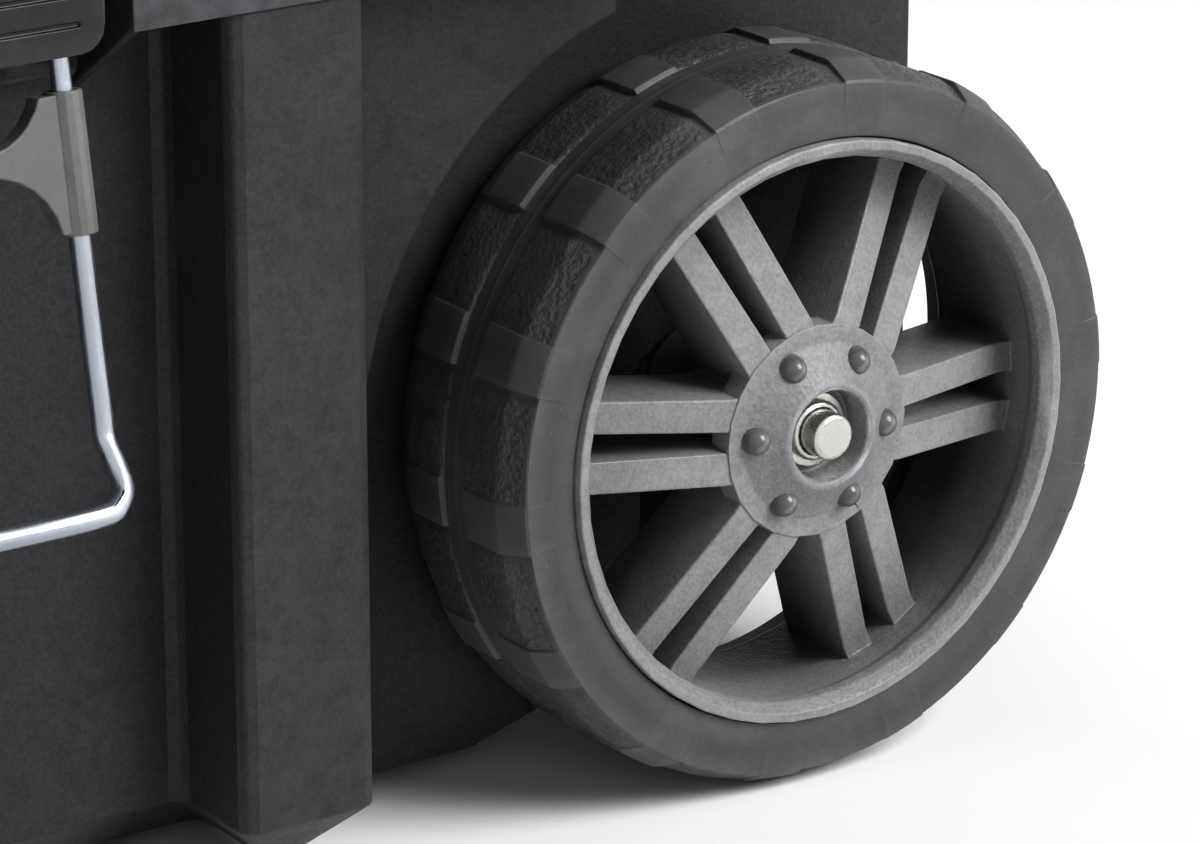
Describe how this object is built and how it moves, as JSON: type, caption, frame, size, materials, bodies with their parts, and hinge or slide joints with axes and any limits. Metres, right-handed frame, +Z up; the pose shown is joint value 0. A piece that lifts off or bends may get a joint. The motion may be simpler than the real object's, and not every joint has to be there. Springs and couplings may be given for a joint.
{
  "type": "rolling toolbox",
  "caption": "Rolling toolbox: ribbed plastic tub with a hinged lid, wire-bail latch, fold-down carry handle, spoked wheels at one end and a telescopic pull handle.",
  "frame": {"origin": "on the floor, in the middle of the toolbox's bounding box", "axes": "+Z up, +X towards the wheeled end, -Y towards the front, where the latch hangs"},
  "size_m": [0.616, 0.384, 0.415],
  "materials": {
    "body_plastic": "fine-grained black polypropylene",
    "lid_plastic": "fine-grained black polypropylene",
    "latch_plastic": "satin black moulding",
    "web_plastic": "satin grey moulding",
    "tyre_rubber": "matte dark grey rubber",
    "rim_plastic": "grained grey moulding",
    "grip_rubber": "soft matte rubber",
    "zinc_wire": "bright zinc plate",
    "nickel_steel": "bright nickel plate",
    "tube_aluminium": "satin anodised",
    "bush_plastic": "natural nylon",
    "button_plastic": "satin grey moulding"
  },
  "bodies": {
    "base": {"tub": "body_plastic", "foot_front": "grip_rubber", "foot_rear": "grip_rubber", "axle": "nickel_steel", "axle_saddle_front": "body_plastic", "axle_saddle_rear": "body_plastic", "saddle_screw_1": "nickel_steel", "saddle_screw_2": "nickel_steel", "saddle_screw_3": "nickel_steel", "saddle_screw_4": "nickel_steel", "axle_spacer_front": "nickel_steel", "axle_spacer_rear": "nickel_steel", "axle_washer_front": "nickel_steel", "axle_washer_rear": "nickel_steel", "axle_nut_front": "nickel_steel", "axle_nut_rear": "nickel_steel", "hinge_pin_left": "nickel_steel", "hinge_pin_right": "nickel_steel", "latch_keeper": "zinc_wire", "keeper_rivet_left": "zinc_wire", "keeper_rivet_right": "zinc_wire", "guide_bracket_lower": "body_plastic", "guide_bracket_upper": "body_plastic", "bracket_screw_1": "nickel_steel", "bracket_screw_2": "nickel_steel", "bracket_screw_3": "nickel_steel", "bracket_screw_4": "nickel_steel", "guide_tube_front": "tube_aluminium", "guide_tube_rear": "tube_aluminium"},
    "lid": {"lid": "lid_plastic", "latch_pin": "nickel_steel", "handle_pin_left": "nickel_steel", "handle_pin_right": "nickel_steel"},
    "latch": {"latch_housing": "latch_plastic", "latch_bail": "zinc_wire", "latch_spreader": "web_plastic"},
    "carry_handle": {"carry_handle": "lid_plastic", "carry_grip": "grip_rubber"},
    "wheel_front": {"tyre_front": "tyre_rubber", "rim_front": "rim_plastic", "bush_outer_front": "bush_plastic", "bush_inner_front": "bush_plastic"},
    "wheel_rear": {"tyre_rear": "tyre_rubber", "rim_rear": "rim_plastic", "bush_outer_rear": "bush_plastic", "bush_inner_rear": "bush_plastic"},
    "pull_middle": {"middle_tube_front": "tube_aluminium", "middle_tube_rear": "tube_aluminium", "handle_bridge": "body_plastic"},
    "pull_upper": {"upper_tube_front": "tube_aluminium", "upper_tube_rear": "tube_aluminium", "pull_grip": "grip_rubber"},
    "release_button": {"release_button": "button_plastic"}
  },
  "joints": [
    {"name": "lid_hinge", "type": "hinge", "parent": "base", "child": "lid", "pos_m": [-0.02925, 0.1758, 0.2735], "axis": [-1, 0, 0], "range_deg": [0, 100]},
    {"name": "latch_swing", "type": "hinge", "parent": "lid", "child": "latch", "pos_m": [-0.02925, -0.16, 0.3], "axis": [-1, 0, 0], "range_deg": [0, 100]},
    {"name": "carry_handle_swing", "type": "hinge", "parent": "lid", "child": "carry_handle", "pos_m": [-0.02925, 0.034, 0.3985], "axis": [-1, 0, 0], "range_deg": [0, 90]},
    {"name": "wheel_front_spin", "type": "hinge", "parent": "base", "child": "wheel_front", "pos_m": [0.208, -0.189, 0.1], "axis": [0, 1, 0], "continuous": true},
    {"name": "wheel_rear_spin", "type": "hinge", "parent": "base", "child": "wheel_rear", "pos_m": [0.208, 0.189, 0.1], "axis": [0, 1, 0], "continuous": true},
    {"name": "pull_middle_slide", "type": "slide", "parent": "base", "child": "pull_middle", "axis": [0, 0, 1], "range_m": [0, 0.15]},
    {"name": "pull_upper_slide", "type": "slide", "parent": "pull_middle", "child": "pull_upper", "axis": [0, 0, 1], "range_m": [0, 0.225]},
    {"name": "release_button_press", "type": "slide", "parent": "pull_upper", "child": "release_button", "axis": [0, 0, -1], "range_m": [0, 0.003], "stiffness_N_per_m": 500, "springref_m": -0.002}
  ]
}
